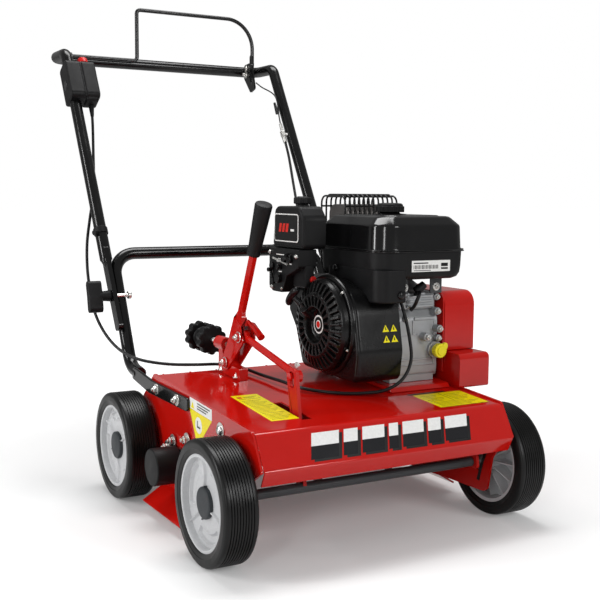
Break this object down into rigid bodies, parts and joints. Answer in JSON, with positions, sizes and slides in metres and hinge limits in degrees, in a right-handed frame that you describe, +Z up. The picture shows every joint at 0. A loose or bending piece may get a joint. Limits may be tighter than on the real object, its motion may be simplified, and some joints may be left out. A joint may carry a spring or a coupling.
{
  "type": "lawn dethatcher",
  "caption": "Petrol lawn dethatcher with a steel deck on wheels, belt-driven tine rotor, height lever, recoil-start engine and folding push handle with a bail.",
  "frame": {"origin": "centre of the whole machine's footprint box on the ground plane", "axes": "+X towards the belt cover side (the machine's own left, as its operator stands behind the handle facing -Y), -Y towards the front wheels, +Z up"},
  "size_m": [0.621, 1.0476, 1.0085],
  "materials": {
    "red_paint": "gloss powder coat",
    "black_paint": "gloss",
    "black_plastic": "matte",
    "tyre_rubber": "matte",
    "black_rubber": "matte",
    "rim_plastic": "satin",
    "zinc_steel": "satin zinc",
    "grey_paint": "satin",
    "cast_aluminium": "as cast",
    "yellow_plastic": "satin",
    "red_plastic": "gloss"
  },
  "bodies": {
    "chassis": {"deck_top": "red_paint", "side_plate_right": "red_paint", "side_plate_left": "red_paint", "engine_platform": "red_paint", "rear_axle": "zinc_steel", "lever_bracket": "red_paint", "bearing_housing_right": "black_paint", "bearing_housing_left": "black_paint", "shaft_end_cover": "black_plastic", "drive_belt": "black_rubber", "belt_backplate": "red_paint", "belt_cover_lower": "red_paint", "belt_cover_upper": "red_paint", "flap_rod": "zinc_steel", "engine_block": "cast_aluminium", "blower_housing": "black_plastic", "recoil_cover": "black_plastic", "fuel_tank": "black_paint", "air_cleaner_cover": "black_plastic", "carburettor": "black_plastic", "muffler": "zinc_steel", "muffler_guard": "black_paint", "lower_handle": "black_paint", "stop_lead_lower": "black_rubber", "clutch_cable_lower": "black_rubber"},
    "height_lever": {"height_lever": "red_paint", "lever_grip": "black_plastic"},
    "front_axle": {"front_axle_beam": "grey_paint", "carriage_arm": "red_paint"},
    "link": {"link_rod": "red_paint"},
    "wheel_front_left": {"tyre_front_left": "tyre_rubber", "rim_front_left": "rim_plastic"},
    "wheel_front_right": {"tyre_front_right": "tyre_rubber", "rim_front_right": "rim_plastic"},
    "wheel_rear_left": {"tyre_rear_left": "tyre_rubber", "rim_rear_left": "rim_plastic"},
    "wheel_rear_right": {"tyre_rear_right": "tyre_rubber", "rim_rear_right": "rim_plastic"},
    "depth_screw": {"depth_knob": "black_plastic"},
    "rotor": {"rotor_shaft": "zinc_steel", "rotor_blades": "zinc_steel", "rotor_pulley": "zinc_steel"},
    "crankshaft": {"crank_pulley": "zinc_steel"},
    "tensioner": {"tensioner_arm": "zinc_steel"},
    "idler": {"idler_pulley": "zinc_steel"},
    "rear_flap": {"rear_flap": "red_paint"},
    "upper_handle": {"upper_handle": "black_paint", "switch_box": "black_plastic", "stop_lead_upper": "black_rubber", "clutch_cable_upper": "black_rubber"},
    "wing_knob_left": {"wing_knob_left": "black_plastic"},
    "wing_knob_right": {"wing_knob_right": "black_plastic"},
    "bail": {"bail": "black_paint"},
    "stop_button": {"stop_button": "red_plastic"},
    "starter_grip": {"starter_grip": "black_plastic"},
    "fuel_cap": {"fuel_cap": "black_plastic"},
    "air_cleaner_knob": {"air_cleaner_knob": "black_plastic"},
    "oil_cap": {"oil_cap": "yellow_plastic"},
    "choke_lever": {"choke_lever": "black_plastic"},
    "throttle_lever": {"throttle_lever": "black_plastic"}
  },
  "joints": [
    {"name": "height_lever_swing", "type": "hinge", "parent": "chassis", "child": "height_lever", "pos_m": [-0.111, -0.12375, 0.261], "axis": [1, 0, 0], "range_deg": [-30, 8]},
    {"name": "front_axle_swing", "type": "hinge", "parent": "chassis", "child": "front_axle", "pos_m": [0, -0.31975, 0.125], "axis": [1, 0, 0], "range_deg": [-13.6, 3.7]},
    {"name": "link_swing", "type": "hinge", "parent": "height_lever", "child": "link", "pos_m": [-0.111, -0.18175, 0.316], "axis": [1, 0, 0], "range_deg": [-9, 33.2]},
    {"name": "wheel_front_left_spin", "type": "hinge", "parent": "front_axle", "child": "wheel_front_left", "pos_m": [-0.2815, -0.42375, 0.1], "axis": [1, 0, 0], "continuous": true},
    {"name": "wheel_front_right_spin", "type": "hinge", "parent": "front_axle", "child": "wheel_front_right", "pos_m": [0.2815, -0.42375, 0.1], "axis": [1, 0, 0], "continuous": true},
    {"name": "wheel_rear_left_spin", "type": "hinge", "parent": "chassis", "child": "wheel_rear_left", "pos_m": [-0.2815, -0.01575, 0.1], "axis": [1, 0, 0], "continuous": true},
    {"name": "wheel_rear_right_spin", "type": "hinge", "parent": "chassis", "child": "wheel_rear_right", "pos_m": [0.2815, -0.01575, 0.1], "axis": [1, 0, 0], "continuous": true},
    {"name": "depth_screw_turn", "type": "hinge", "parent": "chassis", "child": "depth_screw", "pos_m": [-0.111, -0.00275, 0.292], "axis": [0, 1, 0], "range_deg": [-720, 720]},
    {"name": "rotor_spin", "type": "hinge", "parent": "chassis", "child": "rotor", "pos_m": [0, -0.19575, 0.1], "axis": [1, 0, 0], "continuous": true},
    {"name": "crankshaft_spin", "type": "hinge", "parent": "chassis", "child": "crankshaft", "pos_m": [0.254, -0.25575, 0.34], "axis": [1, 0, 0], "continuous": true},
    {"name": "tensioner_swing", "type": "hinge", "parent": "chassis", "child": "tensioner", "pos_m": [0.255, -0.14275, 0.296], "axis": [1, 0, 0], "range_deg": [-3.2, 0]},
    {"name": "idler_spin", "type": "hinge", "parent": "tensioner", "child": "idler", "pos_m": [0.272, -0.15775, 0.236], "axis": [1, 0, 0], "continuous": true},
    {"name": "rear_flap_swing", "type": "hinge", "parent": "chassis", "child": "rear_flap", "pos_m": [0, -0.05975, 0.229], "axis": [1, 0, 0], "range_deg": [0, 28]},
    {"name": "handle_fold", "type": "hinge", "parent": "chassis", "child": "upper_handle", "pos_m": [0, 0.12125, 0.37], "axis": [1, 0, 0], "range_deg": [0, 62]},
    {"name": "wing_knob_left_turn", "type": "hinge", "parent": "chassis", "child": "wing_knob_left", "pos_m": [-0.295, 0.12125, 0.37], "axis": [1, 0, 0], "range_deg": [0, 720]},
    {"name": "wing_knob_right_turn", "type": "hinge", "parent": "chassis", "child": "wing_knob_right", "pos_m": [0.295, 0.12125, 0.37], "axis": [1, 0, 0], "range_deg": [0, 720]},
    {"name": "bail_squeeze", "type": "hinge", "parent": "upper_handle", "child": "bail", "pos_m": [0, 0.49025, 0.886], "axis": [1, 0, 0], "range_deg": [-50, 0], "stiffness_Nm_per_rad": 0.6, "springref_deg": 20.05},
    {"name": "stop_button_press", "type": "slide", "parent": "upper_handle", "child": "stop_button", "axis": [0, 0.5069, 0.862], "range_m": [-0.004, 0], "stiffness_N_per_m": 400, "springref_m": 0.001},
    {"name": "starter_grip_pull", "type": "slide", "parent": "chassis", "child": "starter_grip", "axis": [-0.62, 0.4, 0.675], "range_m": [0, 0.45], "stiffness_N_per_m": 15, "springref_m": -0.05},
    {"name": "fuel_cap_turn", "type": "hinge", "parent": "chassis", "child": "fuel_cap", "pos_m": [0.152, -0.25575, 0.551], "axis": [0, 0, 1], "range_deg": [0, 90]},
    {"name": "air_cleaner_knob_turn", "type": "hinge", "parent": "chassis", "child": "air_cleaner_knob", "pos_m": [0.006, -0.18375, 0.562], "axis": [0, 0, 1], "range_deg": [0, 720]},
    {"name": "oil_cap_turn", "type": "hinge", "parent": "chassis", "child": "oil_cap", "pos_m": [0.212, -0.33575, 0.29], "axis": [0, 1, 0], "range_deg": [-720, 0]},
    {"name": "choke_lever_swing", "type": "hinge", "parent": "chassis", "child": "choke_lever", "pos_m": [-0.027, -0.17175, 0.452], "axis": [1, 0, 0], "range_deg": [0, 45]},
    {"name": "throttle_lever_swing", "type": "hinge", "parent": "chassis", "child": "throttle_lever", "pos_m": [-0.027, -0.12975, 0.412], "axis": [1, 0, 0], "range_deg": [-25, 45]}
  ],
  "couplings": [
    {"joint": "front_axle_swing", "follows": "height_lever_swing", "ratio": 0.445},
    {"joint": "link_swing", "follows": "height_lever_swing", "ratio": -1.095},
    {"joint": "crankshaft_spin", "follows": "rotor_spin", "ratio": 1.2632},
    {"joint": "tensioner_swing", "follows": "bail_squeeze", "ratio": 0.06}
  ]
}
